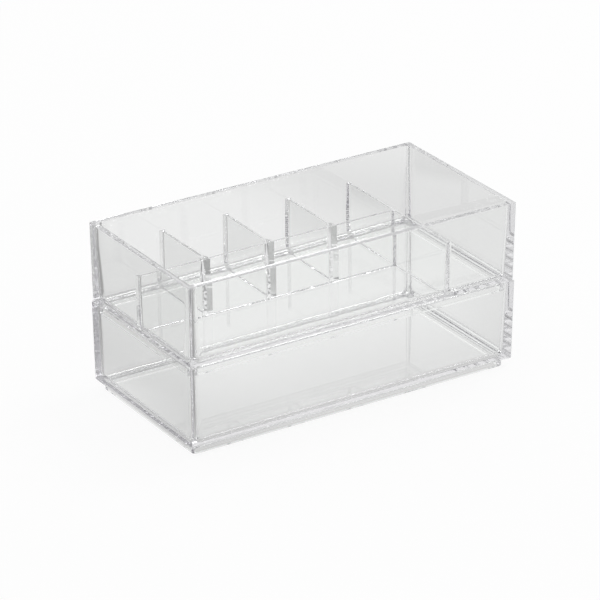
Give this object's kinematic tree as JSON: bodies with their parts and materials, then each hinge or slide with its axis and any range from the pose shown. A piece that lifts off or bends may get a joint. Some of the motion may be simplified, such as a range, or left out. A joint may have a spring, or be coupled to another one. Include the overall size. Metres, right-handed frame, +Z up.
{
  "type": "stacking vanity organizer",
  "caption": "Rectangular organizer of clear plastic: an open lower tray and a partitioned upper tray whose foot nests in the lower rim and lifts off.",
  "frame": {"origin": "middle of the footprint, on the surface under the lower tray's foot", "axes": "+X along the length towards the side compartment, +Y from the front compartment to the rear cells, +Z up"},
  "size_m": [0.24, 0.12, 0.1136],
  "materials": {
    "clear_styrene": "gloss"
  },
  "bodies": {
    "lower": {"lower_tray": "clear_styrene"},
    "upper": {"upper_tray": "clear_styrene", "side_divider": "clear_styrene", "cross_wall": "clear_styrene", "short_divider_1": "clear_styrene", "short_divider_2": "clear_styrene", "short_divider_3": "clear_styrene"}
  },
  "joints": [
    {"name": "upper_tray_lift", "type": "slide", "parent": "lower", "child": "upper", "axis": [0, 0, 1], "range_m": [0, 0.08]}
  ]
}
